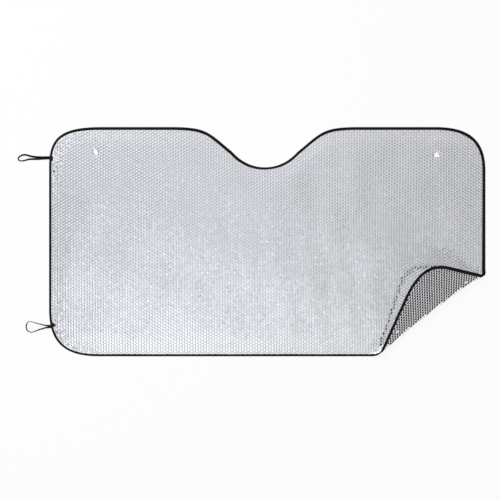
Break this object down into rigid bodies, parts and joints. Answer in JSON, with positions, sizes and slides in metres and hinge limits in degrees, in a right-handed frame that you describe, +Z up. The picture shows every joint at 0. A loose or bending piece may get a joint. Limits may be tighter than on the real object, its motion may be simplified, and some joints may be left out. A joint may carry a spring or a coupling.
{
  "type": "windscreen sunshade",
  "caption": "Silver bubble-foil windscreen sunshade with black edge tape, a mirror notch, suction-cup holes, elastic loops at one end and one corner folded over.",
  "frame": {"origin": "on the surface it lies on, under the centre of its box without the elastic loops", "axes": "+X along the length, away from the elastic loops; +Y towards the edge with the mirror notch; +Z up, out of the silver front"},
  "size_m": [1.3938, 0.6831, 0.0983],
  "materials": {
    "metallised_foil": "glossy metallised film over bubbles",
    "edge_tape": "black woven binding tape",
    "elastic_cord": "black braided elastic",
    "sewn_patch": "black cloth, sewn down"
  },
  "bodies": {
    "root": {"bubble_foil": "metallised_foil", "edge_binding": "edge_tape", "elastic_loop_upper": "elastic_cord", "elastic_loop_lower": "elastic_cord", "loop_patch_upper": "sewn_patch", "loop_patch_lower": "sewn_patch"}
  },
  "joints": []
}
